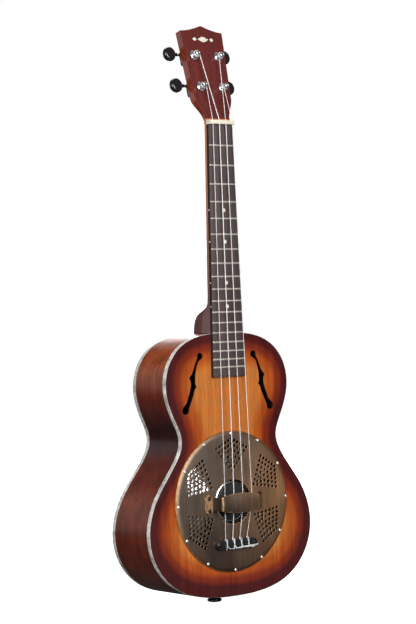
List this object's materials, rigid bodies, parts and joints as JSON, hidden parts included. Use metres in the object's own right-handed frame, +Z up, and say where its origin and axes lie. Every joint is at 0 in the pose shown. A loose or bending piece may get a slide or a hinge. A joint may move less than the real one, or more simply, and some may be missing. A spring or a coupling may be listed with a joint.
{
  "type": "tenor resonator ukulele",
  "caption": "Tenor ukulele with a spun cone resonator under a pierced round coverplate, sunburst wooden body and turning geared tuners.",
  "frame": {"origin": "centre of the flat end of the strap button at the foot of the body", "axes": "+Z up along the neck to the headstock, -Y out of the soundboard towards the listener, +X to the right of someone facing the soundboard"},
  "size_m": [0.2348, 0.0975, 0.6716],
  "materials": {
    "sunburst_mahogany": "glossy lacquer over a sunburst stain",
    "red_mahogany": "glossy dark red stain",
    "inner_wood": "raw",
    "pearloid": "mottled grey and white",
    "spun_aluminium": "spun, concentric lines",
    "ebonised_maple": "black stain",
    "bone": "polished synthetic bone",
    "antique_brass": "brushed, darkened, rubbed bright along the edges",
    "blackened_steel": "oiled",
    "black_plastic": "polished",
    "black_metal": "black plating",
    "rosewood": "oiled, open pored",
    "chrome": "polished",
    "gear_brass": "machined",
    "nylon": "smooth, slightly clear"
  },
  "bodies": {
    "body": {"soundboard": "sunburst_mahogany", "rim": "sunburst_mahogany", "back": "sunburst_mahogany", "front_binding": "pearloid", "back_binding": "pearloid", "neck_block": "inner_wood", "tail_block": "inner_wood", "front_lining": "inner_wood", "back_lining": "inner_wood", "back_brace": "inner_wood", "sound_well": "inner_wood", "cone": "spun_aluminium", "biscuit": "ebonised_maple", "biscuit_screw": "blackened_steel", "saddle": "bone", "coverplate": "antique_brass", "hand_rest": "antique_brass", "tie_block": "black_plastic", "neck": "red_mahogany", "fretboard": "rosewood", "nut": "bone", "strap_button": "black_plastic", "string_1": "nylon", "string_2": "nylon", "string_3": "nylon", "string_4": "nylon", "hand_rest_screw_1": "blackened_steel", "hand_rest_screw_2": "blackened_steel", "hand_rest_screw_3": "blackened_steel", "hand_rest_screw_4": "blackened_steel", "tie_block_screw_1": "blackened_steel", "tie_block_screw_2": "blackened_steel", "tuner_housing_1": "black_metal", "tuner_housing_2": "black_metal", "tuner_housing_3": "black_metal", "tuner_housing_4": "black_metal", "tuner_bushing_1": "chrome", "tuner_bushing_2": "chrome", "tuner_bushing_3": "chrome", "tuner_bushing_4": "chrome"},
    "knob_1": {"tuner_button_1": "black_plastic", "worm_shaft_1": "chrome"},
    "post_1": {"string_post_1": "chrome", "worm_wheel_1": "gear_brass", "string_wrap_1": "nylon"},
    "knob_2": {"tuner_button_2": "black_plastic", "worm_shaft_2": "chrome"},
    "post_2": {"string_post_2": "chrome", "worm_wheel_2": "gear_brass", "string_wrap_2": "nylon"},
    "knob_3": {"tuner_button_3": "black_plastic", "worm_shaft_3": "chrome"},
    "post_3": {"string_post_3": "chrome", "worm_wheel_3": "gear_brass", "string_wrap_3": "nylon"},
    "knob_4": {"tuner_button_4": "black_plastic", "worm_shaft_4": "chrome"},
    "post_4": {"string_post_4": "chrome", "worm_wheel_4": "gear_brass", "string_wrap_4": "nylon"}
  },
  "joints": [
    {"name": "knob_1_turn", "type": "hinge", "parent": "body", "child": "knob_1", "pos_m": [-0.0158, -0.01116, 0.60033], "axis": [1, 0, 0], "continuous": true},
    {"name": "post_1_turn", "type": "hinge", "parent": "body", "child": "post_1", "pos_m": [-0.0158, -0.02918, 0.59792], "axis": [0, -0.9736, 0.2284], "continuous": true},
    {"name": "knob_2_turn", "type": "hinge", "parent": "body", "child": "knob_2", "pos_m": [-0.0175, -0.00244, 0.63752], "axis": [1, 0, 0], "continuous": true},
    {"name": "post_2_turn", "type": "hinge", "parent": "body", "child": "post_2", "pos_m": [-0.0175, -0.02046, 0.63511], "axis": [0, -0.9736, 0.2284], "continuous": true},
    {"name": "knob_3_turn", "type": "hinge", "parent": "body", "child": "knob_3", "pos_m": [0.0175, -0.00244, 0.63752], "axis": [1, 0, 0], "continuous": true},
    {"name": "post_3_turn", "type": "hinge", "parent": "body", "child": "post_3", "pos_m": [0.0175, -0.02046, 0.63511], "axis": [0, -0.9736, 0.2284], "continuous": true},
    {"name": "knob_4_turn", "type": "hinge", "parent": "body", "child": "knob_4", "pos_m": [0.0158, -0.01116, 0.60033], "axis": [1, 0, 0], "continuous": true},
    {"name": "post_4_turn", "type": "hinge", "parent": "body", "child": "post_4", "pos_m": [0.0158, -0.02918, 0.59792], "axis": [0, -0.9736, 0.2284], "continuous": true}
  ],
  "couplings": [
    {"joint": "post_1_turn", "follows": "knob_1_turn", "ratio": 0.071429},
    {"joint": "post_2_turn", "follows": "knob_2_turn", "ratio": 0.071429},
    {"joint": "post_3_turn", "follows": "knob_3_turn", "ratio": 0.071429},
    {"joint": "post_4_turn", "follows": "knob_4_turn", "ratio": 0.071429}
  ]
}
